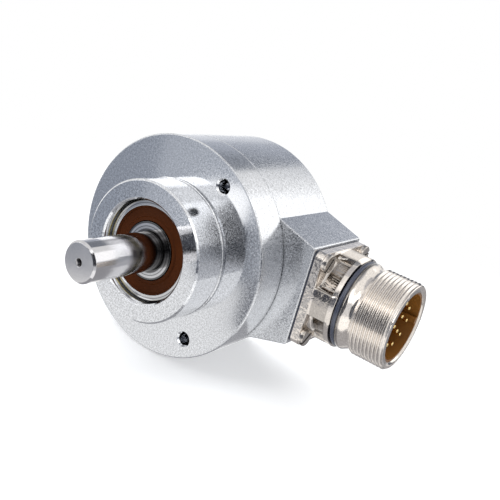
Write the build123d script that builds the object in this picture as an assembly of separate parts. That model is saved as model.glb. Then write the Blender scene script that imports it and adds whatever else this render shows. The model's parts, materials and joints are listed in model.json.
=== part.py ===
from build123d import *
import math
import os

# Incremental rotary encoder with a clamping flange and a radial round connector.
# Frame in millimetres: origin on the shaft axis at the flange's mounting face,
# -Y along the shaft, +X along the connector, +Z up. The housing lies at y > 0.

os.makedirs("parts", exist_ok=True)

# Shaft
shaft_d = 10.0
shaft_reach = 20.0
shaft_chamfer = 0.5
relief_width = 0.45
relief_depth = 0.2
seat_step = 0.5
journal_d = 8.0
centre_drill_d = 2.0
centre_drill_depth = 1.0
centre_pilot_d = 1.0
centre_pilot_depth = 2.5

# Flange
flange_d = 58.0
flange_depth = 10.0
boss_d = 36.0
boss_length = 10.0
boss_chamfer = 0.45
undercut_width = 1.0
undercut_depth = 0.25
undercut_round = 0.4
rim_wall = 3.0
spigot_length = 4.0
seam_chamfer = 0.25
fixing_inset = 5.0
fixing_core_d = 3.3
fixing_depth = 8.0
fixing_angles = (60, 180, 300)
drill_point_slope = 31

# Ball bearings, size 9 x 26 x 8
bearing_d = 26.0
bearing_width = 8.0
bearing_recess = 2.7
bearing_spacing = 3.2
bearing_shoulder = 1.5
bearing_chamfer = 0.45
bore_chamfer = 0.15
ball_d = 4.762
ball_count = 7
groove_play = 0.05
inner_ring_wall = 2.85
outer_ring_wall = 2.35
seal_snap = 0.65
seal_lip_play = 0.25
seal_thickness = 0.7
seal_inset = 0.2
cage_thickness = 1.8
cage_mouth = 1.4
cage_play = 0.35
pocket_play = 0.07

# Retaining rings
bore_ring_thickness = 1.1
bore_ring_depth = 0.6
shaft_ring_thickness = 1.0
shaft_ring_depth = 0.3
ring_width = 1.9
ring_play = 0.1
ring_gap_angle = 40.0

# Housing cover
cover_rear_wall = 3.0
cover_rear_round = 1.0
cover_spigot_play = 0.05
cover_ring_section = 1.0
cover_ring_inset = 2.0
block_reach = 6.4
block_margin = 0.6
block_slope = 16.5
block_edge_round = 0.6

# Screws of size M3, and the pillars that carry the board and the rear wall
m3_d = 3.0
m3_core_d = 2.5
screw_hole_play = 0.2
hexagon_socket_r = 1.05
hexagon_socket_depth = 1.2
cover_screw_to_stud = 1.4
rotor_screw_head_d = 5.4
rotor_screw_head = 1.5
rotor_screw_depth = 6.0
slot_width = 0.7
slot_depth = 0.8
pillar_inset = 5.0
pillar_angles = (90, 210, 330)
pillar_across_flats = 5.5
pillar_stud_depth = 5.0
pillar_stud_reach = 3.0

# Rotor behind the bearings
hub_gap = 0.4
hub_depth = 2.6
hub_flange_play = 1.3
hub_flange_depth = 1.8
hub_sleeve_d = 12.0
disc_play = 0.8
disc_thickness = 1.0
clamp_inset = 1.0
clamp_thickness = 0.8

# Optics
optic_inset = 1.5
light_gap = 0.7
light_holder_width = 6.4
light_holder_height = 10.0
light_holder_round = 0.5
led_d = 3.0
led_length = 1.3
lens_d = 4.2
lens_crown = 0.3
reticle_gap = 0.6
reticle_thickness = 0.8
reticle_inset = 0.5
sensor_width = 6.0
sensor_height = 8.0
sensor_thickness = 1.6

# Circuit boards and flexible cable
board_thickness = 1.6
board_play = 1.55
board_hole_d = 8.0
header_x = 12.0
header_depth = 5.0
header_height = 3.2
header_width = 11.0
flex_width = 8.0
flex_thickness = 0.3
flex_rise = 1.8
flex_stand_off = 1.3
flex_bend = 2.0
flex_socket_offset = 6.3
flex_socket_length = 1.9
flex_socket_width = 9.2
connector_board_d = 17.2
connector_board_thickness = 1.0
connector_board_gap = 1.3

# Chips on the main board: x, z, width, height and thickness of each
chips = (
    (-9.0, 8.0, 7.0, 7.0, 1.2),
    (-10.0, -3.0, 5.0, 6.0, 1.5),
    (0.5, -13.0, 6.5, 4.5, 1.8),
)

# Connector shell, along an axis parallel to X
gasket_thickness = 0.4
gasket_inset = 0.1
base_half = 12.4
base_thickness = 2.1
base_corner_round = 2.0
tower_length = 4.9
arm_inset = 0.1
arm_width = 7.2
arm_round = 0.4
pocket_depth = 1.8
pocket_round = 0.8
core_foot = 0.8
connector_screw_inset = 2.4
collar_inset = 0.2
collar_width = 1.3
groove_width = 1.6
groove_floor_d = 20.4
o_ring_section = 1.55
lip_d = 23.4
lip_width = 0.6
neck_taper_length = 2.0
neck_length = 0.9
neck_d = 21.2
thread_d = 23.0
thread_length = 9.4
thread_chamfer = 0.5
socket_d = 19.0
socket_depth = 12.1
tail_bore_d = 16.4
tail_d = 18.8
tail_length = 6.3
block_bore_play = 0.2
connector_screw_head_d = 4.8
connector_screw_head = 1.3
connector_screw_round = 0.35
connector_screw_length = 10.0
connector_slot_depth = 0.7
connector_slot_angles = (35, 52, 80, 15)
connector_hole_play = 0.1

# Connector insert and contacts
insert_wall = 0.65
insert_inset = 0.4
insert_depth = 8.6
insert_tail = 0.7
key_width = 1.7
key_height = 1.0
pin_inset = 1.6
pin_d = 1.0
pin_tip_round = 0.3
pin_body_d = 1.5
pin_tail_d = 0.8
pin_tail_reach = 0.4
outer_pin_circle_r = 5.7
outer_pin_count = 9
inner_pin_circle_r = 2.3
inner_pin_angles = (60, 180, 300)

# Radii and half sizes that follow from the sizes above
spigot_r = flange_d / 2 - rim_wall
cavity_r = spigot_r + cover_spigot_play
fixing_circle_r = flange_d / 2 - fixing_inset
pillar_circle_r = spigot_r - pillar_inset
pillar_corner_r = pillar_across_flats / 2 / math.cos(math.radians(30))
disc_r = pillar_circle_r - pillar_corner_r - disc_play
optic_r = disc_r - optic_inset
hub_flange_r = optic_r - light_holder_width / 2 - hub_flange_play
clamp_r = hub_flange_r - clamp_inset
board_r = cavity_r - board_play
seat_r = shaft_d / 2 - seat_step
inner_land_r = seat_r + inner_ring_wall
outer_land_r = bearing_d / 2 - outer_ring_wall
ball_pitch_r = (inner_land_r + outer_land_r) / 2
seal_seat_r = outer_land_r + seal_snap
cage_back = bearing_width / 2 - seal_inset - seal_thickness - cage_play
block_half_height = base_half + block_margin
cover_length = 2 * block_half_height
screw_half = base_half - connector_screw_inset
arm_reach_r = base_half - arm_inset
collar_r = base_half - collar_inset
tower_core_r = collar_r - pocket_depth
block_bore_r = tail_d / 2 + block_bore_play

# Stations along Y that follow
shaft_end_y = -boss_length - shaft_reach
front_bearing_y = -boss_length + bearing_recess
front_bearing_end_y = front_bearing_y + bearing_width
rear_bearing_y = front_bearing_end_y + bearing_spacing
rear_bearing_end_y = rear_bearing_y + bearing_width
front_centre_y = front_bearing_y + bearing_width / 2
rear_centre_y = rear_bearing_y + bearing_width / 2
spigot_end_y = flange_depth + spigot_length
cover_ring_y = flange_depth + cover_ring_inset
cover_end_y = flange_depth + cover_length
cover_inner_y = cover_end_y - cover_rear_wall
connector_y = flange_depth + cover_length / 2
hub_start_y = spigot_end_y + hub_gap
disc_y = hub_start_y + hub_depth
disc_end_y = disc_y + disc_thickness
clamp_end_y = disc_end_y + clamp_thickness
light_holder_end_y = disc_y - light_gap
led_end_y = spigot_end_y + led_length
reticle_y = disc_end_y + reticle_gap
reticle_end_y = reticle_y + reticle_thickness
board_y = reticle_end_y + sensor_thickness
board_end_y = board_y + board_thickness
stud_end_y = board_end_y + pillar_stud_reach
cover_screw_tip_y = stud_end_y + cover_screw_to_stud
flex_y = board_end_y + flex_rise
flex_socket_y = connector_y + flex_socket_offset

# Stations along X that follow
block_face_x = flange_d / 2 + block_reach
base_start_x = block_face_x + gasket_thickness
base_end_x = base_start_x + base_thickness
tower_end_x = base_end_x + tower_length
collar_end_x = tower_end_x + collar_width
groove_end_x = collar_end_x + groove_width
lip_end_x = groove_end_x + lip_width
neck_start_x = lip_end_x + neck_taper_length
thread_start_x = neck_start_x + neck_length
thread_end_x = thread_start_x + thread_length
socket_floor_x = thread_end_x - socket_depth
insert_end_x = thread_end_x - insert_inset
insert_face_x = thread_end_x - insert_depth
pin_tip_x = thread_end_x - pin_inset
tail_start_x = base_start_x - tail_length
insert_start_x = tail_start_x - insert_tail
connector_board_end_x = insert_start_x - connector_board_gap
connector_board_x = connector_board_end_x - connector_board_thickness
pin_tail_x = connector_board_x - pin_tail_reach
flex_x = connector_board_x - flex_stand_off
header_mouth_x = header_x + header_depth / 2

AXIS_Y = Axis((0, 0, 0), (0, 1, 0))
CONNECTOR_AXIS = Axis((0, connector_y, 0), (1, 0, 0))


def turned(points):
    """Solid turned about the shaft axis from (radius, y) points."""
    return revolve(make_face(Polyline(*points, close=True)), AXIS_Y)


def connector_turned(points):
    """Solid turned about the connector axis from (x, radius) points."""
    shifted = [(x, connector_y + radius) for x, radius in points]
    return revolve(make_face(Polyline(*shifted, close=True)), CONNECTOR_AXIS)


def rod_y(radius, start, end, x=0.0, z=0.0):
    """Round rod along Y between two stations."""
    return Pos(x, (start + end) / 2, z) * Rot(X=90) * Cylinder(radius, end - start)


def rod_x(radius, start, end, y=connector_y, z=0.0):
    """Round rod along X between two stations."""
    return Pos((start + end) / 2, y, z) * Rot(Y=90) * Cylinder(radius, end - start)


def block(x_span, y_span, z_span):
    """Box given by its three spans."""
    size = [span[1] - span[0] for span in (x_span, y_span, z_span)]
    centre = [(span[0] + span[1]) / 2 for span in (x_span, y_span, z_span)]
    return Pos(*centre) * Box(*size)


def around_shaft(radius, angle):
    """Place (x, z) on a circle about the shaft axis, angle from +X towards +Z."""
    return radius * math.cos(math.radians(angle)), radius * math.sin(math.radians(angle))


def around_connector(radius, angle):
    """Place (y, z) on a circle about the connector axis, angle from +Y towards +Z."""
    return (connector_y + radius * math.cos(math.radians(angle)),
            radius * math.sin(math.radians(angle)))


def fixing_places():
    """The (x, z) places of the fixing holes."""
    return [around_shaft(fixing_circle_r, angle) for angle in fixing_angles]


def pillar_places():
    """The (x, z) places of the pillars."""
    return [around_shaft(pillar_circle_r, angle) for angle in pillar_angles]


def connector_screw_places():
    """The (y, z) places of the connector screws."""
    return [(connector_y + side_y * screw_half, side_z * screw_half)
            for side_y in (-1, 1) for side_z in (-1, 1)]


def save(node, shape):
    """Write one node to its STEP file."""
    export_step(shape, f"parts/{node}.step")


# Flange

def flange():
    """Clamping flange: boss, disc, spigot, bearing bore and blind holes."""
    boss_r = boss_d / 2
    undercut_r = boss_r - undercut_depth
    rim_r = flange_d / 2
    bore_r = bearing_d / 2
    shoulder_r = bore_r - bearing_shoulder
    ring_groove_r = bore_r + bore_ring_depth
    ring_groove_end = rear_bearing_end_y + bore_ring_thickness + ring_play
    ring_floor_r = spigot_r - cover_ring_section
    ring_half = cover_ring_section / 2 + ring_play
    body = turned([
        (bore_r + boss_chamfer, -boss_length),
        (boss_r - boss_chamfer, -boss_length),
        (boss_r, boss_chamfer - boss_length),
        (boss_r, -undercut_width),
        (undercut_r, undercut_depth - undercut_width),
        (undercut_r, 0),
        (rim_r - seam_chamfer, 0),
        (rim_r, seam_chamfer),
        (rim_r, flange_depth - seam_chamfer),
        (rim_r - seam_chamfer, flange_depth),
        (spigot_r, flange_depth),
        (spigot_r, cover_ring_y - ring_half),
        (ring_floor_r, cover_ring_y - ring_half),
        (ring_floor_r, cover_ring_y + ring_half),
        (spigot_r, cover_ring_y + ring_half),
        (spigot_r, spigot_end_y - boss_chamfer),
        (spigot_r - boss_chamfer, spigot_end_y),
        (bore_r, spigot_end_y),
        (bore_r, ring_groove_end),
        (ring_groove_r, ring_groove_end),
        (ring_groove_r, rear_bearing_end_y),
        (bore_r, rear_bearing_end_y),
        (bore_r, rear_bearing_y),
        (shoulder_r, rear_bearing_y),
        (shoulder_r, front_bearing_end_y),
        (bore_r, front_bearing_end_y),
        (bore_r, boss_chamfer - boss_length),
    ])
    body = fillet(circle_edges(body, undercut_r, 0), undercut_round)
    for x, z in fixing_places():
        body -= blind_hole_y(fixing_core_d / 2, 0, fixing_depth, x, z)
    for x, z in pillar_places():
        body -= rod_y(m3_d / 2, spigot_end_y - pillar_stud_depth, spigot_end_y, x, z)
    return body


def circle_edges(body, radius, y):
    """Edges of this radius about the shaft axis, at this station."""
    return [edge for edge in body.edges().filter_by(GeomType.CIRCLE)
            if math.isclose(edge.radius, radius) and abs(edge.center().Y - y) < 0.001]


def blind_hole_y(radius, mouth, depth, x, z):
    """Drilled hole into +Y with a small countersink and a drill point."""
    countersink = Pos(x, mouth + boss_chamfer / 2, z) * Rot(X=90) * Cone(
        radius, radius + boss_chamfer, boss_chamfer)
    point_depth = radius * math.tan(math.radians(drill_point_slope))
    point = Pos(x, mouth + depth + point_depth / 2, z) * Rot(X=-90) * Cone(
        radius, 0, point_depth)
    return rod_y(radius, mouth, mouth + depth, x, z) + countersink + point


# Shaft and bearings

def shaft():
    """Stainless shaft with bearing seat, retaining ring groove, journal and centre drilling."""
    main_r = shaft_d / 2
    relief_r = main_r - relief_depth
    relief_start = front_bearing_y - relief_width
    journal_r = journal_d / 2
    groove_r = seat_r - shaft_ring_depth
    groove_end = rear_bearing_end_y + shaft_ring_thickness + ring_play
    pilot_r = centre_pilot_d / 2
    drill_r = centre_drill_d / 2
    rear_bore_r = m3_core_d / 2
    rear_bore_start = disc_end_y - rotor_screw_depth
    return turned([
        (drill_r, shaft_end_y),
        (main_r - shaft_chamfer, shaft_end_y),
        (main_r, shaft_end_y + shaft_chamfer),
        (main_r, relief_start),
        (relief_r, relief_start + relief_depth),
        (relief_r, front_bearing_y),
        (seat_r, front_bearing_y),
        (seat_r, rear_bearing_end_y),
        (groove_r, rear_bearing_end_y),
        (groove_r, groove_end),
        (seat_r, groove_end),
        (seat_r, hub_start_y),
        (journal_r, hub_start_y),
        (journal_r, disc_end_y),
        (rear_bore_r, disc_end_y),
        (rear_bore_r, rear_bore_start),
        (0, rear_bore_start),
        (0, shaft_end_y + centre_pilot_depth),
        (pilot_r, shaft_end_y + centre_pilot_depth),
        (pilot_r, shaft_end_y + centre_drill_depth),
    ])


def ball_groove(centre_y):
    """Ring that the balls sweep, with their play, for cutting the raceways."""
    return Pos(0, centre_y, 0) * Rot(X=90) * Torus(ball_pitch_r, ball_d / 2 + groove_play)


def bearing_outer_ring(centre_y):
    """Outer ring with raceway and two seats for the seals."""
    half = bearing_width / 2
    rim = bearing_d / 2
    step = half - seal_inset - seal_thickness
    corner = bearing_chamfer
    ring = turned([
        (seal_seat_r, centre_y - half),
        (rim - corner, centre_y - half),
        (rim, centre_y - half + corner),
        (rim, centre_y + half - corner),
        (rim - corner, centre_y + half),
        (seal_seat_r, centre_y + half),
        (seal_seat_r, centre_y + step),
        (outer_land_r, centre_y + step),
        (outer_land_r, centre_y - step),
        (seal_seat_r, centre_y - step),
    ])
    return ring - ball_groove(centre_y)


def bearing_inner_ring(centre_y):
    """Inner ring on the shaft, with raceway."""
    half = bearing_width / 2
    corner = bore_chamfer
    ring = turned([
        (seat_r + corner, centre_y - half),
        (inner_land_r, centre_y - half),
        (inner_land_r, centre_y + half),
        (seat_r + corner, centre_y + half),
        (seat_r, centre_y + half - corner),
        (seat_r, centre_y - half + corner),
    ])
    return ring - ball_groove(centre_y)


def bearing_seals(centre_y):
    """Two rubber seals, each a disc with a thinner lip that clears the inner ring."""
    half = bearing_width / 2
    lip_r_inner = inner_land_r + seal_lip_play
    bend_r = lip_r_inner + seal_thickness
    thin = seal_thickness / 2
    seals = []
    for side in (-1, 1):
        outside = centre_y + side * (half - seal_inset)
        inside = outside - side * seal_thickness
        dished = outside - side * thin
        seals.append(turned([
            (lip_r_inner, inside),
            (lip_r_inner, outside),
            (bend_r, outside),
            (bend_r + thin, dished),
            (seal_seat_r - 2 * thin, dished),
            (seal_seat_r - thin, outside),
            (seal_seat_r, outside),
            (seal_seat_r, inside),
        ]))
    return seals


def bearing_balls(centre_y):
    """The balls on their pitch circle."""
    balls = []
    for index in range(ball_count):
        x, z = around_shaft(ball_pitch_r, 360 * index / ball_count)
        balls.append(Pos(x, centre_y, z) * Sphere(ball_d / 2))
    return balls


def bearing_cage(centre_y):
    """Crown cage: a ring with a snap pocket round each ball."""
    inner_r = ball_pitch_r - cage_thickness / 2
    outer_r = ball_pitch_r + cage_thickness / 2
    ring = turned([
        (inner_r, centre_y - cage_mouth),
        (outer_r, centre_y - cage_mouth),
        (outer_r, centre_y + cage_back),
        (inner_r, centre_y + cage_back),
    ])
    for index in range(ball_count):
        angle = 360 * index / ball_count
        x, z = around_shaft(ball_pitch_r, angle)
        ring -= Pos(x, centre_y, z) * Rot(Y=90 - angle) * Sphere(ball_d / 2 + pocket_play)
    return ring


def bearing_spacer():
    """Sleeve that holds the two inner rings apart."""
    return turned([
        (seat_r, front_bearing_end_y),
        (inner_land_r - groove_play, front_bearing_end_y),
        (inner_land_r - groove_play, rear_bearing_y),
        (seat_r, rear_bearing_y),
    ])


def retaining_ring(inner_r, outer_r, start_y, thickness):
    """Open ring with a gap on the -Z side."""
    gap_half = ring_gap_angle / 2
    ring = rod_y(outer_r, start_y, start_y + thickness) - rod_y(inner_r, start_y, start_y + thickness)
    left = around_shaft(2 * outer_r, 270 - gap_half)
    right = around_shaft(2 * outer_r, 270 + gap_half)
    wedge = make_face(Polyline((0, 0), left, right, close=True))
    return ring - extrude(Plane.XZ * wedge, -(start_y + thickness))


def bearing_circlip():
    """Retaining ring behind the rear bearing, in the flange bore."""
    outer_r = bearing_d / 2 + bore_ring_depth - ring_play
    return retaining_ring(outer_r - ring_width, outer_r, rear_bearing_end_y, bore_ring_thickness)


def shaft_circlip():
    """Retaining ring behind the rear bearing, on the shaft."""
    inner_r = seat_r - shaft_ring_depth
    return retaining_ring(inner_r, inner_r + ring_width, rear_bearing_end_y, shaft_ring_thickness)


# Rotor

def code_hub():
    """Hub on the shaft's journal: a sleeve that centres the disc and a flange under it."""
    return turned([
        (journal_d / 2, hub_start_y),
        (hub_sleeve_d / 2, hub_start_y),
        (hub_sleeve_d / 2, disc_y - hub_flange_depth),
        (hub_flange_r, disc_y - hub_flange_depth),
        (hub_flange_r, disc_y),
        (hub_sleeve_d / 2, disc_y),
        (hub_sleeve_d / 2, disc_end_y),
        (journal_d / 2, disc_end_y),
    ])


def code_disc():
    """Glass code disc."""
    return rod_y(disc_r, disc_y, disc_end_y) - rod_y(hub_sleeve_d / 2, disc_y, disc_end_y)


def disc_clamp():
    """Washer that presses the disc on the hub."""
    return rod_y(clamp_r, disc_end_y, clamp_end_y) - rod_y(m3_d / 2, disc_end_y, clamp_end_y)


def rotor_screw():
    """Screw in the shaft's end that holds the clamp."""
    head_end = clamp_end_y + rotor_screw_head
    screw = rod_y(rotor_screw_head_d / 2, clamp_end_y, head_end)
    screw += rod_y(m3_core_d / 2, disc_end_y - rotor_screw_depth, clamp_end_y)
    slot = block((-rotor_screw_head_d, rotor_screw_head_d), (head_end - slot_depth, head_end),
                 (-slot_width / 2, slot_width / 2))
    return screw - slot


# Housing cover

def cover_body():
    """Closed outer form of the cover: a round cup with the tapered connector block."""
    cup = rod_y(flange_d / 2, flange_depth, cover_end_y)
    root_x = flange_d / 4
    root_z = block_half_height + (block_face_x - root_x) * math.tan(math.radians(block_slope))
    outline = make_face(Polyline(
        (root_x, root_z),
        (block_face_x, block_half_height),
        (block_face_x, -block_half_height),
        (root_x, -root_z),
        close=True,
    ))
    tower = extrude(Plane.XZ * outline, -cover_end_y) - block(
        (0, 2 * block_face_x), (-1, flange_depth), (-flange_d, flange_d))
    face_edges = tower.edges().filter_by(Axis.Y).sort_by(Axis.X)[-2:]
    tower = fillet(face_edges, block_edge_round)
    whole = cup + tower
    rear_edges = whole.faces().sort_by(Axis.Y)[-1].outer_wire().edges()
    whole = fillet(rear_edges, cover_rear_round)
    front_edges = whole.faces().sort_by(Axis.Y)[0].outer_wire().edges()
    return chamfer(front_edges, seam_chamfer)


def housing_cover():
    """Aluminium cover with cavity, connector bore and screw holes."""
    cover = cover_body()
    cover -= rod_y(cavity_r, flange_depth, cover_inner_y)
    cover -= rod_x(block_bore_r, flange_d / 4, block_face_x)
    screw_root = base_end_x - connector_screw_length
    for y, z in connector_screw_places():
        cover -= rod_x(m3_core_d / 2, screw_root, block_face_x, y, z)
    for x, z in pillar_places():
        cover -= rod_y(m3_d / 2 + screw_hole_play, cover_inner_y, cover_end_y, x, z)
        cover -= countersink(x, z, screw_hole_play)
    return cover


def countersink(x, z, play):
    """Cone of a countersunk head, its wide end at the rear face."""
    depth = m3_d / 2
    wide = m3_d + play
    return Pos(x, cover_end_y - depth / 2, z) * Rot(X=-90) * Cone(m3_d / 2 + play, wide, depth)


def cover_screws():
    """Three countersunk screws with hexagon sockets, from the rear into the pillars."""
    screws = []
    for x, z in pillar_places():
        screw = rod_y(m3_core_d / 2, cover_screw_tip_y, cover_end_y - m3_d / 2, x, z)
        screw += countersink(x, z, 0)
        socket = Plane.XZ * RegularPolygon(hexagon_socket_r, 6)
        screw -= Pos(x, cover_end_y, z) * extrude(socket, hexagon_socket_depth)
        screws.append(screw)
    return screws


def cover_o_ring():
    """Seal ring in the spigot's groove."""
    section_r = cover_ring_section / 2
    major = spigot_r - section_r
    return Pos(0, cover_ring_y, 0) * Rot(X=90) * Torus(major, section_r)


# Pillars

def hexagon_pillar(x, z, start, end):
    """Hexagonal pillar along Y."""
    section = Plane.XZ * RegularPolygon(pillar_corner_r, 6)
    return Pos(x, end, z) * extrude(section, end - start)


def board_pillars():
    """Pillars between flange and board, with a stud at each end."""
    pillars = []
    for x, z in pillar_places():
        pillar = hexagon_pillar(x, z, spigot_end_y, board_y)
        pillar += rod_y(m3_d / 2, spigot_end_y - pillar_stud_depth, spigot_end_y, x, z)
        pillar += rod_y(m3_d / 2, board_y, stud_end_y, x, z)
        pillars.append(pillar)
    return pillars


def cover_pillars():
    """Pillars between board and rear wall, hollow at each end."""
    pillars = []
    for x, z in pillar_places():
        pillar = hexagon_pillar(x, z, board_end_y, cover_inner_y)
        pillar -= rod_y(m3_d / 2, board_end_y, stud_end_y, x, z)
        pillar -= rod_y(m3_core_d / 2, cover_screw_tip_y, cover_inner_y, x, z)
        pillars.append(pillar)
    return pillars


# Optics and electronics

def light_holder():
    """Moulded holder on the flange, with a stepped bore for light source and lens."""
    half_x = light_holder_width / 2
    half_z = light_holder_height / 2
    body = block((-optic_r - half_x, half_x - optic_r), (spigot_end_y, light_holder_end_y), (-half_z, half_z))
    body = fillet(body.edges().filter_by(Axis.Y), light_holder_round)
    body -= rod_y(led_d / 2, spigot_end_y, led_end_y, -optic_r)
    body -= rod_y(lens_d / 2, led_end_y, light_holder_end_y, -optic_r)
    return body


def light_source():
    """Light-emitting diode in the holder."""
    return rod_y(led_d / 2, spigot_end_y, led_end_y, -optic_r)


def collimator_lens():
    """Plano-convex lens over the light source."""
    crown_sphere_r = ((lens_d / 2) ** 2 + lens_crown ** 2) / (2 * lens_crown)
    crown_centre = light_holder_end_y - crown_sphere_r
    body = rod_y(lens_d / 2, led_end_y, light_holder_end_y, -optic_r)
    return body & (Pos(-optic_r, crown_centre, 0) * Sphere(crown_sphere_r))


def reticle():
    """Glass reticle on the sensor, close behind the disc."""
    half_x = sensor_width / 2 - reticle_inset
    half_z = sensor_height / 2 - reticle_inset
    return block((-optic_r - half_x, half_x - optic_r), (reticle_y, reticle_end_y), (-half_z, half_z))


def sensor_chip():
    """Photo sensor on the board's front face."""
    half_x = sensor_width / 2
    half_z = sensor_height / 2
    return block((-optic_r - half_x, half_x - optic_r), (reticle_end_y, board_y), (-half_z, half_z))


def main_board():
    """Round circuit board with a hole over the rotor screw and holes for the studs."""
    board = rod_y(board_r, board_y, board_end_y) - rod_y(board_hole_d / 2, board_y, board_end_y)
    for x, z in pillar_places():
        board -= rod_y(m3_d / 2, board_y, board_end_y, x, z)
    return board


def board_chips():
    """Line driver, signal processor and regulator on the board's rear face."""
    return [block((x - width / 2, x + width / 2), (board_end_y, board_end_y + thickness),
                  (z - height / 2, z + height / 2))
            for x, z, width, height, thickness in chips]


def board_header():
    """Header on the board that takes the flexible cable."""
    half = header_width / 2
    end_x = header_x + header_depth
    body = block((header_x, end_x), (board_end_y, board_end_y + header_height), (-half, half))
    mouth = block((header_mouth_x, end_x), flex_span(flex_y), (-flex_width / 2, flex_width / 2))
    return body - mouth


def flex_span(centre):
    """Thickness span of the flexible cable about its centre plane."""
    return centre - flex_thickness / 2, centre + flex_thickness / 2


def flex_cable():
    """Flat flexible cable: out of the header along +X, one bend, up into the socket."""
    inner = flex_bend - flex_thickness / 2
    outer = flex_bend + flex_thickness / 2
    bend_x = flex_x - flex_bend
    bend_y = flex_y + flex_bend
    half = flex_width / 2
    run_x = block((header_mouth_x, bend_x), flex_span(flex_y), (-half, half))
    run_y = block(flex_span(flex_x), (bend_y, flex_socket_end()), (-half, half))
    bend = Pos(bend_x, bend_y, 0) * (Cylinder(outer, flex_width) - Cylinder(inner, flex_width))
    bend &= block((bend_x, bend_x + 2 * outer), (bend_y - 2 * outer, bend_y), (-half, half))
    return run_x + bend + run_y


def flex_socket_end():
    """How far the flexible cable reaches into its socket."""
    return flex_socket_y + flex_socket_length / 2


def flex_socket():
    """Socket on the connector board that takes the flexible cable."""
    half = flex_socket_width / 2
    depth = 2 * flex_stand_off
    span_y = (flex_socket_y, flex_socket_y + flex_socket_length)
    body = block((connector_board_x - depth, connector_board_x), span_y, (-half, half))
    body -= block(flex_span(flex_x), (flex_socket_y, flex_socket_end()), (-flex_width / 2, flex_width / 2))
    return body


def connector_board():
    """Small round board that the contact tails are soldered into."""
    board = rod_x(connector_board_d / 2, connector_board_x, connector_board_end_x)
    for y, z in contact_places():
        board -= rod_x(pin_tail_d / 2, connector_board_x, connector_board_end_x, y, z)
    return board


# Connector

def outer_contact_places():
    """The (y, z) places of the outer ring of contacts."""
    return [around_connector(outer_pin_circle_r, 360 * index / outer_pin_count)
            for index in range(outer_pin_count)]


def inner_contact_places():
    """The (y, z) places of the inner contacts."""
    return [around_connector(inner_pin_circle_r, angle) for angle in inner_pin_angles]


def contact_places():
    """The (y, z) places of all contacts."""
    return outer_contact_places() + inner_contact_places()


def square_plate(start, end, half):
    """Square plate with round corners across the connector axis."""
    plate = block((start, end), (connector_y - half, connector_y + half), (-half, half))
    return fillet(plate.edges().filter_by(Axis.X), base_corner_round)


def connector_gasket():
    """Flat gasket between the block and the connector."""
    plate = square_plate(block_face_x, base_start_x, base_half - gasket_inset)
    plate -= rod_x(tail_d / 2, block_face_x, base_start_x)
    for y, z in connector_screw_places():
        plate -= rod_x(m3_d / 2 + connector_hole_play, block_face_x, base_start_x, y, z)
    return plate


def vertices_at(section, radius):
    """Corners of a flat section that lie at this distance from its centre."""
    return [corner for corner in section.vertices() if math.isclose(math.hypot(corner.X, corner.Y), radius)]


def shell_tower():
    """Round core under the collar with four arms, which leave a pocket for each screw head."""
    arms = Rectangle(2 * base_half, arm_width) + Rectangle(arm_width, 2 * base_half)
    section = (arms & Circle(arm_reach_r)) + Circle(tower_core_r)
    section = fillet(vertices_at(section, tower_core_r), pocket_round)
    section = fillet(vertices_at(section, arm_reach_r), arm_round)
    across = Plane((base_end_x, connector_y, 0), x_dir=(0, 1, 0), z_dir=(1, 0, 0))
    foot = connector_turned([
        (base_end_x, 0),
        (base_end_x, tower_core_r + core_foot),
        (base_end_x + core_foot, tower_core_r),
        (base_end_x + core_foot, 0),
    ])
    return extrude(across * section, tower_length) + foot


def connector_shell():
    """Nickel-plated shell: square base, tower, collar, seal groove, neck and thread."""
    shell = square_plate(base_start_x, base_end_x, base_half)
    shell += shell_tower()
    shell += connector_turned([
        (tail_start_x, 0),
        (tail_start_x, tail_d / 2),
        (tower_end_x, tail_d / 2),
        (tower_end_x, collar_r),
        (collar_end_x, collar_r),
        (collar_end_x, groove_floor_d / 2),
        (groove_end_x, groove_floor_d / 2),
        (groove_end_x, lip_d / 2),
        (lip_end_x, lip_d / 2),
        (neck_start_x, neck_d / 2),
        (thread_start_x - thread_chamfer, neck_d / 2),
        (thread_start_x, thread_d / 2),
        (thread_end_x - thread_chamfer, thread_d / 2),
        (thread_end_x, thread_d / 2 - thread_chamfer),
        (thread_end_x, 0),
    ])
    shell -= rod_x(tail_bore_d / 2, tail_start_x, socket_floor_x)
    shell -= rod_x(socket_d / 2, socket_floor_x, thread_end_x)
    for y, z in connector_screw_places():
        shell -= rod_x(m3_d / 2 + connector_hole_play, base_start_x, base_end_x, y, z)
    return shell


def connector_o_ring():
    """Seal ring behind the thread."""
    section_r = o_ring_section / 2
    middle = (collar_end_x + groove_end_x) / 2
    return Pos(middle, connector_y, 0) * Rot(Y=90) * Torus(groove_floor_d / 2 + section_r, section_r)


def connector_insert():
    """Stepped plastic body that holds the contacts."""
    body = rod_x(tail_bore_d / 2, insert_start_x, socket_floor_x)
    body += rod_x(socket_d / 2, socket_floor_x, insert_face_x)
    for y, z in contact_places():
        body -= rod_x(pin_body_d / 2, insert_start_x, insert_face_x, y, z)
    return body


def connector_lining():
    """Plastic lining of the socket, with a key along its +Y side."""
    inner_r = socket_d / 2 - insert_wall
    lining = rod_x(socket_d / 2, insert_face_x, insert_end_x) - rod_x(inner_r, insert_face_x, insert_end_x)
    key_root = connector_y + socket_d / 2 - insert_wall / 2
    key_top = connector_y + inner_r - key_height
    key = block((insert_face_x, insert_end_x), (key_top, key_root), (-key_width / 2, key_width / 2))
    return lining + key


def contact(y, z):
    """One contact: solder tail, body in the insert and pin with a rounded tip."""
    pin = rod_x(pin_d / 2, insert_face_x, pin_tip_x, y, z)
    pin = fillet(pin.edges().sort_by(Axis.X)[-1], pin_tip_round)
    pin += rod_x(pin_body_d / 2, insert_start_x, insert_face_x, y, z)
    return pin + rod_x(pin_tail_d / 2, pin_tail_x, insert_start_x, y, z)


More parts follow.
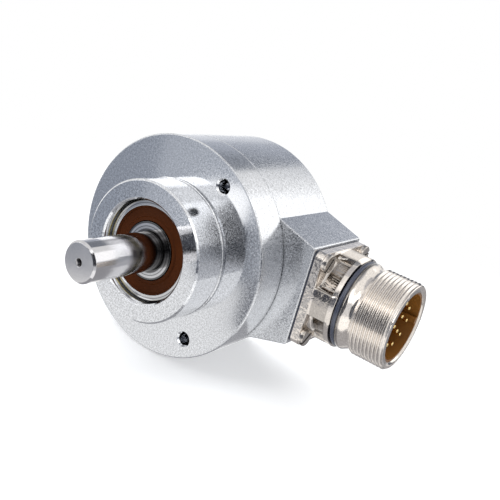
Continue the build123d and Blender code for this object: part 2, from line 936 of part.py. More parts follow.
def connector_screws():
    """Four slotted cheese-head screws."""
    screws = []
    head_end = base_end_x + connector_screw_head
    slot_floor = head_end - connector_slot_depth
    for (y, z), angle in zip(connector_screw_places(), connector_slot_angles):
        head = rod_x(connector_screw_head_d / 2, base_end_x, head_end, y, z)
        head = fillet(head.edges().sort_by(Axis.X)[-1], connector_screw_round)
        slot = block((slot_floor, head_end), (-m3_d, m3_d), (-slot_width / 2, slot_width / 2))
        slot = Pos(0, y, z) * Rot(X=angle) * slot
        shank = rod_x(m3_core_d / 2, base_end_x - connector_screw_length, base_end_x, y, z)
        screws.append(head - slot + shank)
    return screws


# Nodes

def build():
    """Make and write every node."""
    save("flange", flange())
    save("housing_cover", housing_cover())
    save("cover_o_ring", cover_o_ring())
    save("cover_screws", Compound(children=cover_screws()))
    save("shaft", shaft())
    for name, centre_y in (("front", front_centre_y), ("rear", rear_centre_y)):
        save(f"{name}_bearing_outer_ring", bearing_outer_ring(centre_y))
        save(f"{name}_bearing_inner_ring", bearing_inner_ring(centre_y))
        save(f"{name}_bearing_seals", Compound(children=bearing_seals(centre_y)))
        save(f"{name}_bearing_balls", Compound(children=bearing_balls(centre_y)))
        save(f"{name}_bearing_cage", bearing_cage(centre_y))
    save("bearing_spacer", bearing_spacer())
    save("bearing_circlip", bearing_circlip())
    save("shaft_circlip", shaft_circlip())
    save("code_hub", code_hub())
    save("code_disc", code_disc())
    save("disc_clamp", disc_clamp())
    save("rotor_screw", rotor_screw())
    save("board_pillars", Compound(children=board_pillars()))
    save("cover_pillars", Compound(children=cover_pillars()))
    save("light_holder", light_holder())
    save("light_source", light_source())
    save("collimator_lens", collimator_lens())
    save("reticle", reticle())
    save("sensor_chip", sensor_chip())
    save("main_board", main_board())
    save("board_chips", Compound(children=board_chips()))
    save("board_header", board_header())
    save("flex_cable", flex_cable())
    save("flex_socket", flex_socket())
    save("connector_board", connector_board())
    save("connector_gasket", connector_gasket())
    save("connector_shell", connector_shell())
    save("connector_o_ring", connector_o_ring())
    save("connector_insert", connector_insert())
    save("connector_lining", connector_lining())
    save("contacts_outer", Compound(children=[contact(y, z) for y, z in outer_contact_places()]))
    save("contacts_inner", Compound(children=[contact(y, z) for y, z in inner_contact_places()]))
    save("connector_screws", Compound(children=connector_screws()))


build()
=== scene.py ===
"""Looks of an incremental rotary encoder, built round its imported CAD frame.

The CAD nodes get their finishes, the connector shell gets its cut thread, and a small studio of cards stands
round the encoder for the metal to mirror. Sizes in fields and constants are millimetres, unless their class
says otherwise.
"""

import json
import logging
import math
from dataclasses import dataclass, field
from enum import Enum
from functools import cached_property

import bmesh
import bpy
from mathutils import Euler, Matrix, Vector

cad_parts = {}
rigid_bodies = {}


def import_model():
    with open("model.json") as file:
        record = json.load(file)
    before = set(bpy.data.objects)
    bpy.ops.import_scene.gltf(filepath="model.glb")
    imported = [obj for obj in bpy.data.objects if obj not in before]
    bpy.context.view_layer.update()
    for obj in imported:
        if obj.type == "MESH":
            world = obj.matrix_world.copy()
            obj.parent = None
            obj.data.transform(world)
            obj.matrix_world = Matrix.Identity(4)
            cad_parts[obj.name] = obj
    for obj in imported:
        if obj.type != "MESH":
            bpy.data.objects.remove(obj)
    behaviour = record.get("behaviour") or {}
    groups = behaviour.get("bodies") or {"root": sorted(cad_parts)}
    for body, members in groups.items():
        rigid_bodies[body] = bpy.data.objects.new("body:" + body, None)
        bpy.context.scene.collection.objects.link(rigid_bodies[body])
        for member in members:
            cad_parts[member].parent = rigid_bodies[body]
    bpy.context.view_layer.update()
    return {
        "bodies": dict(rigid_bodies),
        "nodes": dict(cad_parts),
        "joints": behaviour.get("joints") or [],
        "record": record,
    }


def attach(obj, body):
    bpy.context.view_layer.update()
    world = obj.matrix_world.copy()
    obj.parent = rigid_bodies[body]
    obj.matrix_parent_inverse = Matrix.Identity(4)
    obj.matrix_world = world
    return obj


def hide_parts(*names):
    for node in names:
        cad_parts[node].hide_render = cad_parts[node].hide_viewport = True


log = logging.getLogger("encoder")

MM = 0.001
# Points within this many metres of each other are one.
TOUCHING = 1e-7
# The connector's axis lies this far behind the flange's mounting face.
CONNECTOR_Y = 23.0
FLOAT, VECTOR = "NodeSocketFloat", "NodeSocketVector"
Socket = bpy.types.NodeSocket
RGB = tuple[float, float, float]
RGBA = tuple[float, float, float, float]


class Axis(Enum):
    """Turning axes of the encoder: a point on the axis and its direction."""

    SHAFT = ((0.0, 0.0, 0.0), (0.0, 1.0, 0.0))
    CONNECTOR = ((0.0, CONNECTOR_Y * MM, 0.0), (1.0, 0.0, 0.0))

    @property
    def point(self) -> Vector:
        """A point on the axis, in metres."""
        return Vector(self.value[0])

    @property
    def direction(self) -> Vector:
        """The axis direction."""
        return Vector(self.value[1])

    @property
    def turn(self) -> tuple[float, float, float]:
        """Euler angles that lay the axis along Z."""
        return (math.pi / 2, 0.0, 0.0) if self is Axis.SHAFT else (0.0, math.pi / 2, 0.0)


class Along(Enum):
    """What a band of a finish is measured along: an axis, or out from the shaft's axis."""

    X = "X"
    Y = "Y"
    RADIUS = "radius"


class Graph:
    """A node tree with short calls for adding and joining nodes."""

    def __init__(self, tree: bpy.types.NodeTree) -> None:
        """Starts on an emptied tree.

        Args:
            tree: the tree to fill.
        """
        self.tree = tree
        self.tree.nodes.clear()

    def add(self, kind: str, sockets: dict | None = None, **settings: object) -> bpy.types.Node:
        """Adds a node.

        Args:
            kind: the node's type name, without its ShaderNode prefix.
            sockets: input name or index to a constant, or to an output socket.
            settings: properties of the node.

        Returns:
            The new node.
        """
        prefix = "" if kind.startswith("Node") else "ShaderNode"
        node = self.tree.nodes.new(prefix + kind)
        for name, value in settings.items():
            setattr(node, name, value)
        for name, value in (sockets or {}).items():
            if isinstance(value, Socket):
                self.tree.links.new(value, node.inputs[name])
            else:
                node.inputs[name].default_value = value
        return node

    def effect(self, kind: type["Effect"], **sockets: float | Socket) -> bpy.types.NodeOutputs:
        """Adds a shared effect.

        Args:
            kind: the effect.
            sockets: its inputs by name, constants or sockets.

        Returns:
            Its outputs by name.
        """
        return self.add("Group", sockets, node_tree=kind.tree()).outputs

    def maths(self, operation: str, *values: float | Socket) -> Socket:
        """One maths node.

        Args:
            operation: the operation's name.
            values: its inputs in order, constants or sockets.

        Returns:
            The result.
        """
        return self.add("Math", dict(enumerate(values)), operation=operation).outputs[0]

    def radius(self, one: Socket, other: Socket) -> Socket:
        """Distance from an axis.

        Args:
            one: a coordinate across the axis.
            other: the other coordinate across it.

        Returns:
            The distance.
        """
        squares = self.maths("MULTIPLY_ADD", one, one, self.maths("MULTIPLY", other, other))
        return self.maths("SQRT", squares)

    def spread(self, value: Socket, low: float, high: float, to_low: float = 0.0,
               to_high: float = 1.0) -> Socket:
        """Maps a value from one range to another, clamped.

        Args:
            value: the socket to map.
            low: start of the range it has.
            high: end of the range it has.
            to_low: start of the wanted range.
            to_high: end of the wanted range.

        Returns:
            The result.
        """
        return self.add("MapRange", {0: value, 1: low, 2: high, 3: to_low, 4: to_high}).outputs[0]

    def blend(self, share: Socket, first: Socket | RGBA, second: Socket | RGBA) -> Socket:
        """Mixes two colours.

        Args:
            share: share of the second colour.
            first: the first colour.
            second: the second colour.

        Returns:
            The mixed colour.
        """
        return self.add("Mix", {0: share, 6: first, 7: second}, data_type="RGBA").outputs[2]

    def bump(self, strength: float | Socket, height: Socket, distance: float, normal: Socket) -> Socket:
        """Tilts a normal by a height.

        Args:
            strength: share of the relief that shows.
            height: the height, from 0 to 1.
            distance: how high a height of 1 stands.
            normal: the normal so far.

        Returns:
            The tilted normal.
        """
        return self.add("Bump", {"Strength": strength, "Distance": distance * MM, "Height": height,
                                 "Normal": normal}).outputs[0]


class Effect:
    """A shader node group that several finishes share, built when it is first used.

    In an effect, shown holds the two raw values that its tone or mask turns into 0 and 1.
    """

    inputs: dict[str, tuple[str, float | None]] = {}
    outputs: dict[str, str] = {}
    made: dict[str, bpy.types.NodeTree] = {}

    @classmethod
    def tree(cls) -> bpy.types.NodeTree:
        """The effect's node group.

        Returns:
            The group, the same one at every call.
        """
        name = cls.__name__
        if name not in Effect.made:
            group = bpy.data.node_groups.new(name, "ShaderNodeTree")
            for label, (kind, value) in cls.inputs.items():
                socket = group.interface.new_socket(label, in_out="INPUT", socket_type=kind)
                if value is not None:
                    socket.default_value = value
            for label, kind in cls.outputs.items():
                group.interface.new_socket(label, in_out="OUTPUT", socket_type=kind)
            graph = Graph(group)
            given = graph.add("NodeGroupInput").outputs
            graph.add("NodeGroupOutput", cls.fill(graph, given))
            Effect.made[name] = group
        return Effect.made[name]

    @classmethod
    def fill(cls, graph: Graph, given: bpy.types.NodeOutputs) -> dict[str, Socket]:
        """Builds the effect's nodes.

        Args:
            graph: the graph of the group.
            given: the group's inputs by name.

        Returns:
            What the group puts out, by name.
        """
        raise NotImplementedError


class Grain(Effect):
    """Fine random pits and specks of a blasted, cast or moulded skin."""

    inputs = {"Vector": (VECTOR, None), "Scale": (FLOAT, 2500.0), "Depth": (FLOAT, 0.3),
              "Normal": (VECTOR, None)}
    outputs = {"Tone": FLOAT, "Normal": VECTOR}
    finer = 2.7
    fine_share = 0.6
    shown = (0.36, 0.64)
    depth = 0.12

    @classmethod
    def fill(cls, graph: Graph, given: bpy.types.NodeOutputs) -> dict[str, Socket]:
        """Joins a coarse and a finer noise to a tone and a normal.

        Args:
            graph: the graph of the group.
            given: the group's inputs by name.

        Returns:
            What the group puts out, by name.
        """
        coarse = graph.add("TexNoise", {"Vector": given["Vector"], "Scale": given["Scale"], "Detail": 3.0})
        scale = graph.maths("MULTIPLY", given["Scale"], cls.finer)
        fine = graph.add("TexNoise", {"Vector": given["Vector"], "Scale": scale, "Detail": 1.0})
        coarse_part = graph.maths("MULTIPLY", coarse.outputs["Fac"], 1 - cls.fine_share)
        both = graph.maths("MULTIPLY_ADD", fine.outputs["Fac"], cls.fine_share, coarse_part)
        return {"Tone": graph.spread(both, *cls.shown),
                "Normal": graph.bump(given["Depth"], both, cls.depth, given["Normal"])}


class Turning(Effect):
    """Fine rings that a lathe leaves about the Z axis of the given coordinates."""

    inputs = {"Vector": (VECTOR, None), "Scale": (FLOAT, 3000.0), "Depth": (FLOAT, 0.15),
              "Normal": (VECTOR, None)}
    outputs = {"Tone": FLOAT, "Normal": VECTOR}
    shown = (0.3, 0.7)
    depth = 0.1

    @classmethod
    def fill(cls, graph: Graph, given: bpy.types.NodeOutputs) -> dict[str, Socket]:
        """Makes a noise that changes only with radius and height.

        Args:
            graph: the graph of the group.
            given: the group's inputs by name.

        Returns:
            What the group puts out, by name.
        """
        x, y, z = graph.add("SeparateXYZ", {0: given["Vector"]}).outputs
        place = graph.add("CombineXYZ", {0: graph.radius(x, y), 1: z}).outputs[0]
        rings = graph.add("TexNoise", {"Vector": place, "Scale": given["Scale"], "Detail": 4.0,
                                       "Roughness": 0.7}).outputs["Fac"]
        return {"Tone": graph.spread(rings, *cls.shown),
                "Normal": graph.bump(given["Depth"], rings, cls.depth, given["Normal"])}


class Smudges(Effect):
    """Large soft patches from handling."""

    inputs = {"Vector": (VECTOR, None), "Scale": (FLOAT, 60.0)}
    outputs = {"Mask": FLOAT}
    shown = (0.42, 0.66)

    @classmethod
    def fill(cls, graph: Graph, given: bpy.types.NodeOutputs) -> dict[str, Socket]:
        """Makes one warped soft noise.

        Args:
            graph: the graph of the group.
            given: the group's inputs by name.

        Returns:
            What the group puts out, by name.
        """
        noise = graph.add("TexNoise", {"Vector": given["Vector"], "Scale": given["Scale"], "Detail": 5.0,
                                       "Distortion": 0.8})
        return {"Mask": graph.spread(noise.outputs["Fac"], *cls.shown)}


class Edges(Effect):
    """Rounds sharp edges in the shading and marks them."""

    inputs = {"Radius": (FLOAT, 0.0002)}
    outputs = {"Mask": FLOAT, "Normal": VECTOR}
    shown = (1.0, 0.9)

    @classmethod
    def fill(cls, graph: Graph, given: bpy.types.NodeOutputs) -> dict[str, Socket]:
        """Compares the rounded normal with the plain one.

        Args:
            graph: the graph of the group.
            given: the group's inputs by name.

        Returns:
            What the group puts out, by name.
        """
        rounded = graph.add("Bevel", {"Radius": given["Radius"]}, samples=6).outputs[0]
        plain = graph.add("NewGeometry").outputs["Normal"]
        same = graph.add("VectorMath", {0: rounded, 1: plain}, operation="DOT_PRODUCT").outputs["Value"]
        return {"Mask": graph.spread(same, *cls.shown), "Normal": rounded}


class CreviceShade(Effect):
    """Marks corners and gaps that little light reaches, where the colour gets painted shade."""

    inputs = {"Reach": (FLOAT, 0.001)}
    outputs = {"Mask": FLOAT}
    shown = (0.8, 0.25)

    @classmethod
    def fill(cls, graph: Graph, given: bpy.types.NodeOutputs) -> dict[str, Socket]:
        """Finds how much of the sky is hidden within the reach.

        Args:
            graph: the graph of the group.
            given: the group's inputs by name.

        Returns:
            What the group puts out, by name.
        """
        open_sky = graph.add("AmbientOcclusion", {"Distance": given["Reach"]}, samples=6)
        return {"Mask": graph.spread(open_sky.outputs["AO"], *cls.shown)}


class Place:
    """A piece's own coordinates, and what is measured from them once a band asks for it."""

    def __init__(self, graph: Graph) -> None:
        """Starts with the coordinates alone.

        Args:
            graph: the material's graph.
        """
        self.graph = graph
        self.vector = graph.add("TexCoord").outputs["Object"]

    @cached_property
    def parts(self) -> bpy.types.NodeOutputs:
        """X, Y and Z, in metres."""
        return self.graph.add("SeparateXYZ", {0: self.vector}).outputs

    @cached_property
    def radius(self) -> Socket:
        """Distance from the shaft's axis, in metres."""
        return self.graph.radius(self.parts["X"], self.parts["Z"])

    def measure(self, along: Along) -> Socket:
        """The coordinate or radius that a band is measured along."""
        return self.radius if along is Along.RADIUS else self.parts[along.value]


@dataclass(frozen=True)
class Band:
    """Where a mark shows: it comes in from start to full, and may go out again from fading to gone."""

    along: Along
    start: float
    full: float
    fading: float | None = None
    gone: float | None = None
    strength: float = 1.0

    def mask(self, graph: Graph, place: Place) -> Socket:
        """How strong the mark is.

        Args:
            graph: the material's graph.
            place: the piece's coordinates.

        Returns:
            A mask from 0 to the band's strength.
        """
        value = place.measure(self.along)
        shown = graph.spread(value, self.start * MM, self.full * MM, 0.0, self.strength)
        if self.fading is None:
            return shown
        return graph.maths("MULTIPLY", shown, graph.spread(value, self.fading * MM, self.gone * MM, 1.0, 0.0))


def paint(colour: RGB, factor: float = 1.0) -> RGBA:
    """The colour made lighter or darker, with full alpha."""
    return tuple(min(1.0, part * factor) for part in colour) + (1.0,)


def start_material(name: str) -> tuple[bpy.types.Material, Graph]:
    """A new material and the graph of its emptied tree.

    Args:
        name: the material's name.

    Returns:
        The material and its graph.
    """
    material = bpy.data.materials.new(name)
    material.use_nodes = True
    return material, Graph(material.node_tree)


def finish_material(graph: Graph, sockets: dict) -> None:
    """Adds the surface shader and the output.

    Args:
        graph: the material's graph.
        sockets: inputs of the Principled BSDF.
    """
    surface = graph.add("BsdfPrincipled", sockets)
    graph.add("OutputMaterial", {"Surface": surface.outputs[0]})


@dataclass(frozen=True)
class Metal:
    """A metal skin with grain, bright edges, smudges and painted shade in its crevices.

    A turned piece has rings round its axis, and a cast one has lumps up to a station along X, with weaker
    painted shade in the cut thread beyond it. Marks are bands of painted shade, thinner bands of painted shade
    lie under them, dull bands are rougher, and the bead is a yellowish line of sealer where its two bands
    cross.
    """

    name: str
    colour: RGB
    roughness: float
    pit_roughness: float = 0.0
    pit_tones: tuple[float, float] = (0.35, 0.85)
    grain_scale: float = 2500.0
    grain_depth: float = 0.2
    grain_contrast: float = 0.1
    turned: Axis | None = None
    ring_depth: float = 0.0
    ring_scale: float = 3000.0
    ring_share: float = 0.5
    edge_radius: float = 0.15
    edge_shine: float = 0.6
    edge_brightness: float = 1.15
    smudge: float = 0.05
    # Painted shade in crevices: its share, its reach, and how dark the shaded colour is.
    crevice_shade: float = 0.6
    crevice_shade_reach: float = 1.2
    shade_tone: float = 0.12
    cast_until: float | None = None
    cast_fade: float = 0.2
    lump_height: float = 0.6
    lump_share: float = 0.2
    lump_scale: float = 700.0
    # Painted shade on a cast piece: full up to this length past the casting's end, then weaker in the thread.
    neck_length: float = 4.0
    neck_fade: float = 1.0
    thread_shade: float = 0.3
    # The next two rows are bands of painted shade: the first darkens the colour by itself, the second adds to
    # the crevice shade.
    shade_veils: tuple[Band, ...] = ()
    marks: tuple[Band, ...] = ()
    dull: tuple[Band, ...] = ()
    bead: tuple[Band, ...] = ()
    bead_colour: RGB = (0.34, 0.27, 0.07)

    def build(self) -> bpy.types.Material:
        """Builds the material.

        Returns:
            The material.
        """
        material, graph = start_material(self.name)
        place = Place(graph)
        edge, pits = grained(graph, place, self)
        tone, normal = pits["Tone"], pits["Normal"]
        if self.turned:
            tone, normal = self.ring(graph, place, tone, normal)
        if self.cast_until:
            normal = self.lump(graph, place, normal)
        colour = self.polish(graph, tone, edge["Mask"])
        colour = self.shade_and_bead(graph, place, colour)
        rough = self.roughen(graph, place, pits["Tone"])
        finish_material(graph, {"Base Color": colour, "Metallic": 1.0, "Roughness": rough, "Normal": normal})
        return material

    def ring(self, graph: Graph, place: Place, tone: Socket, normal: Socket) -> tuple[Socket, Socket]:
        """Adds the rings of the lathe.

        Args:
            graph: the material's graph.
            place: the piece's coordinates.
            tone: tone of the grain.
            normal: the normal so far.

        Returns:
            The tone and the normal with rings.
        """
        centred = graph.add("Mapping", {"Vector": place.vector, "Location": -self.turned.point}).outputs[0]
        laid = graph.add("Mapping", {"Vector": centred, "Rotation": self.turned.turn}).outputs[0]
        rings = graph.effect(Turning, Vector=laid, Scale=self.ring_scale, Depth=self.ring_depth,
                             Normal=normal)
        grain = graph.maths("MULTIPLY", tone, 1 - self.ring_share)
        return graph.maths("MULTIPLY_ADD", rings["Tone"], self.ring_share, grain), rings["Normal"]

    def lump(self, graph: Graph, place: Place, normal: Socket) -> Socket:
        """Adds the lumps of a die casting.

        Args:
            graph: the material's graph.
            place: the piece's coordinates.
            normal: the normal so far.

        Returns:
            The uneven normal.
        """
        end = self.cast_until
        raw = graph.spread(place.measure(Along.X), end * MM, (end - self.cast_fade) * MM, 0.0, self.lump_share)
        lumps = graph.add("TexNoise", {"Vector": place.vector, "Scale": self.lump_scale, "Detail": 2.0})
        return graph.bump(raw, lumps.outputs["Fac"], self.lump_height, normal)

    def polish(self, graph: Graph, tone: Socket, edge: Socket) -> Socket:
        """Colours the clean metal, speckled and brighter at its edges.

        Args:
            graph: the material's graph.
            tone: from 0 where a speck is dark to 1 where it is light.
            edge: mask of the edges.

        Returns:
            The colour.
        """
        dark, light = (paint(self.colour, 1 + sign * self.grain_contrast) for sign in (-1, 1))
        speckled = graph.blend(tone, dark, light)
        worn = graph.maths("MULTIPLY", edge, self.edge_shine)
        return graph.blend(worn, speckled, paint(self.colour, self.edge_brightness))

    def shade_and_bead(self, graph: Graph, place: Place, colour: Socket) -> Socket:
        """Paints shade in crevices and where the bands say, and lays the bead of sealer.

        Args:
            graph: the material's graph.
            place: the piece's coordinates.
            colour: the colour before any painted shade.

        Returns:
            The colour with painted shade and the bead.
        """
        # Painted shade: the metal's own colour, darkened.
        shaded_colour = paint(self.colour, self.shade_tone)
        for shade_veil in self.shade_veils:
            colour = graph.blend(shade_veil.mask(graph, place), colour, shaded_colour)
        # Painted shade in crevices, from ambient occlusion, joined with the painted shade bands.
        shade_mask = graph.effect(CreviceShade, Reach=self.crevice_shade_reach * MM)["Mask"]
        for mark in self.marks:
            shade_mask = graph.maths("MAXIMUM", shade_mask, mark.mask(graph, place))
        share = self.crevice_shade
        if self.cast_until:
            neck_end = self.cast_until + self.neck_length
            share = graph.spread(place.measure(Along.X), neck_end * MM, (neck_end + self.neck_fade) * MM,
                                 self.crevice_shade, self.crevice_shade * self.thread_shade)
        colour = graph.blend(graph.maths("MULTIPLY", shade_mask, share), colour, shaded_colour)
        if self.bead:
            inside, across = (band.mask(graph, place) for band in self.bead)
            colour = graph.blend(graph.maths("MULTIPLY", inside, across), colour, paint(self.bead_colour))
        return colour

    def roughen(self, graph: Graph, place: Place, tone: Socket) -> Socket:
        """Makes the skin rougher in pits, smudges and dull bands.

        Args:
            graph: the material's graph.
            place: the piece's coordinates.
            tone: tone of the grain.

        Returns:
            The roughness.
        """
        patches = graph.effect(Smudges, Vector=place.vector)["Mask"]
        rough = graph.maths("MULTIPLY_ADD", patches, self.smudge, self.roughness)
        pitted = graph.spread(tone, *self.pit_tones, 0.0, self.pit_roughness)
        rough = graph.maths("ADD", pitted, rough)
        for band in self.dull:
            rough = graph.maths("ADD", band.mask(graph, place), rough)
        return rough


@dataclass(frozen=True)
class Moulded:
    """Plastic, rubber or glass with a moulded skin, whose colour wanders to a second one in patches."""

    name: str
    colour: RGB
    second: RGB
    roughness: float
    grain_scale: float = 1800.0
    grain_depth: float = 0.1
    specular: float = 0.5
    see_through: float = 0.0
    ior: float = 1.5
    edge_radius: float = 0.1
    patch_share: float = 0.6
    smudge: float = 0.08

    def build(self) -> bpy.types.Material:
        """Builds the material.

        Returns:
            The material.
        """
        material, graph = start_material(self.name)
        place = Place(graph)
        pits = grained(graph, place, self)[1]
        patches = graph.effect(Smudges, Vector=place.vector)["Mask"]
        specks = graph.maths("MULTIPLY", pits["Tone"], 1 - self.patch_share)
        mixed = graph.maths("MULTIPLY_ADD", patches, self.patch_share, specks)
        colour = graph.blend(mixed, paint(self.colour), paint(self.second))
        rough = graph.maths("MULTIPLY_ADD", patches, self.smudge, self.roughness)
        finish_material(graph, {"Base Color": colour, "Roughness": rough, "Specular IOR Level": self.specular,
                                "IOR": self.ior, "Transmission Weight": self.see_through,
                                "Normal": pits["Normal"]})
        return material


def grained(graph: Graph, place: Place, finish: Metal | Moulded) -> tuple[bpy.types.NodeOutputs, ...]:
    """The rounded edges of a finish with its grain over them.

    Args:
        graph: the material's graph.
        place: the piece's coordinates.
        finish: the finish.

    Returns:
        The outputs of the edges and of the grain.
    """
    edge = graph.effect(Edges, Radius=finish.edge_radius * MM)
    return edge, graph.effect(Grain, Vector=place.vector, Scale=finish.grain_scale, Depth=finish.grain_depth,
                              Normal=edge["Normal"])


FINISHES = {
    "aluminium": Metal("blasted aluminium", (0.69, 0.70, 0.72), 0.16, pit_roughness=0.15, grain_scale=1900.0,
                       grain_depth=0.04, grain_contrast=0.38, smudge=0.03),
    "turned_aluminium": Metal("turned aluminium", (0.69, 0.70, 0.72), 0.05, pit_roughness=0.09,
                              grain_scale=1900.0, grain_depth=0.01, grain_contrast=0.37, turned=Axis.SHAFT,
                              ring_depth=0.006, ring_share=0.12, edge_radius=0.1, edge_shine=0.15,
                              smudge=0.02, crevice_shade=0.3,
                              bead=(Band(Along.RADIUS, 13.6, 13.5),
                                    Band(Along.Y, -8.3, -8.2, -7.7, -7.6, 0.85)),
                              dull=(Band(Along.RADIUS, 17.7, 17.8, 18.02, 18.12, 0.08),
                                    Band(Along.RADIUS, 28.4, 28.5, 30.0, 30.1, 0.11))),
    # Painted shade on the shaft: strong in its crevices, and rising from y -12.5 mm to full at -10.5 mm and on
    # into the bore.
    "stainless_steel": Metal("ground stainless", (0.62, 0.61, 0.62), 0.09, grain_depth=0.01,
                             grain_contrast=0.12, turned=Axis.SHAFT, ring_depth=0.05, ring_scale=6000.0,
                             crevice_shade=1.0, crevice_shade_reach=8.0,
                             marks=(Band(Along.Y, -12.5, -10.5),)),
    # Painted shade on the bearing: in its crevices, and in four dark rings from the bore out to the outer
    # ring.
    "bearing_steel": Metal("bearing steel", (0.60, 0.60, 0.61), 0.08, grain_depth=0.01, grain_contrast=0.15,
                           turned=Axis.SHAFT, ring_depth=0.03, crevice_shade=0.9, crevice_shade_reach=3.0,
                           marks=(Band(Along.RADIUS, 4.8, 5.0, 5.5, 5.7),
                                  Band(Along.RADIUS, 6.0, 6.2, 6.2, 6.4),
                                  Band(Along.RADIUS, 6.8, 7.0, 7.3, 7.5),
                                  Band(Along.RADIUS, 11.8, 12.0, 12.0, 12.2))),
    "spring_steel": Metal("spring steel", (0.20, 0.20, 0.22), 0.35),
    "zinc_steel": Metal("zinc plated steel", (0.70, 0.71, 0.73), 0.28),
    # Painted shade on the connector: thinner over the tower, in a band on the lip behind the O-ring, and in
    # crevices, weaker in the thread.
    "nickel_plated": Metal("satin nickel", (0.82, 0.76, 0.70), 0.10, pit_roughness=0.12, grain_scale=1800.0,
                           grain_depth=0.05, grain_contrast=0.2, turned=Axis.CONNECTOR, ring_depth=0.02,
                           ring_share=0.3, crevice_shade=0.8, crevice_shade_reach=1.6, cast_until=42.8,
                           shade_veils=(Band(Along.X, 38.3, 38.6, 42.8, 43.1, 0.45),),
                           marks=(Band(Along.X, 45.6, 45.8, 46.3, 46.6, 0.8),)),
    "gold_plated": Metal("gold plate", (0.98, 0.70, 0.30), 0.16, grain_depth=0.03),
    "brown_rubber": Moulded("seal rubber", (0.070, 0.018, 0.004), (0.050, 0.012, 0.002), 0.55, specular=0.05),
    "black_rubber": Moulded("ring rubber", (0.035, 0.042, 0.070), (0.050, 0.058, 0.088), 0.24, specular=0.8),
    "amber_plastic": Moulded("amber plastic", (0.27, 0.115, 0.022), (0.19, 0.075, 0.014), 0.26),
    "cage_plastic": Moulded("cage plastic", (0.72, 0.66, 0.50), (0.66, 0.60, 0.44), 0.45),
    "black_plastic": Moulded("black plastic", (0.02, 0.02, 0.021), (0.03, 0.03, 0.031), 0.45),
    "header_plastic": Moulded("header plastic", (0.80, 0.77, 0.68), (0.74, 0.71, 0.62), 0.42),
    "led_resin": Moulded("clear resin", (0.85, 0.88, 0.90), (0.80, 0.84, 0.88), 0.08, see_through=0.8),
    "circuit_board": Moulded("circuit board", (0.012, 0.13, 0.045), (0.016, 0.17, 0.06), 0.30),
    "polyimide": Moulded("polyimide", (0.50, 0.19, 0.02), (0.42, 0.15, 0.015), 0.22, see_through=0.15),
    "optical_glass": Moulded("optical glass", (0.93, 0.98, 0.97), (0.90, 0.97, 0.96), 0.03, see_through=0.95,
                             grain_depth=0.0),
}
OWN_FINISH = {"flange": "turned_aluminium"}


class Workshop:
    """Makes pieces from meshes and hands out finishes."""

    def __init__(self, frame: dict) -> None:
        """Builds every finish once.
        """
        self.nodes = frame["nodes"]
        self.slots = {part["node"]: part["material_slot"] for part in frame["record"]["subparts"]}
        self.finishes = {slot: finish.build() for slot, finish in FINISHES.items()}

    def dress_frame(self) -> None:
        """Gives each CAD node the finish of its slot, or its own one."""
        for name, node in self.nodes.items():
            finish = self.finishes[OWN_FINISH.get(name, self.slots[name])]
            for slot in node.material_slots:
                slot.material = finish
            log.info("%s: %s", name, finish.name)

    def piece(self, name: str, shape: bmesh.types.BMesh, stands_for: str, body: str) -> bpy.types.Object:
        """Turns a mesh into a piece that stands for a CAD node.

        Args:
            name: the piece's name.
            shape: its mesh; it is freed.
            stands_for: the CAD node it replaces.
            body: the body that it rides on.

        Returns:
            The new object.
        """
        mesh = bpy.data.meshes.new(name)
        shape.to_mesh(mesh)
        shape.free()
        obj = bpy.data.objects.new(name, mesh)
        bpy.context.scene.collection.objects.link(obj)
        mesh.materials.append(self.finishes[self.slots[stands_for]])
        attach(obj, body)
        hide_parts(stands_for)
        log.info("%s: %d faces", name, len(mesh.polygons))
        return obj

    def copy_of(self, node: str) -> bmesh.types.BMesh:
        """A copy of a CAD node's mesh with its doubles merged.

        Args:
            node: the CAD node's name.

        Returns:
            The copy.
        """
        shape = bmesh.new()
        shape.from_mesh(self.nodes[node].data)
        bmesh.ops.remove_doubles(shape, verts=shape.verts, dist=TOUCHING)
        return shape


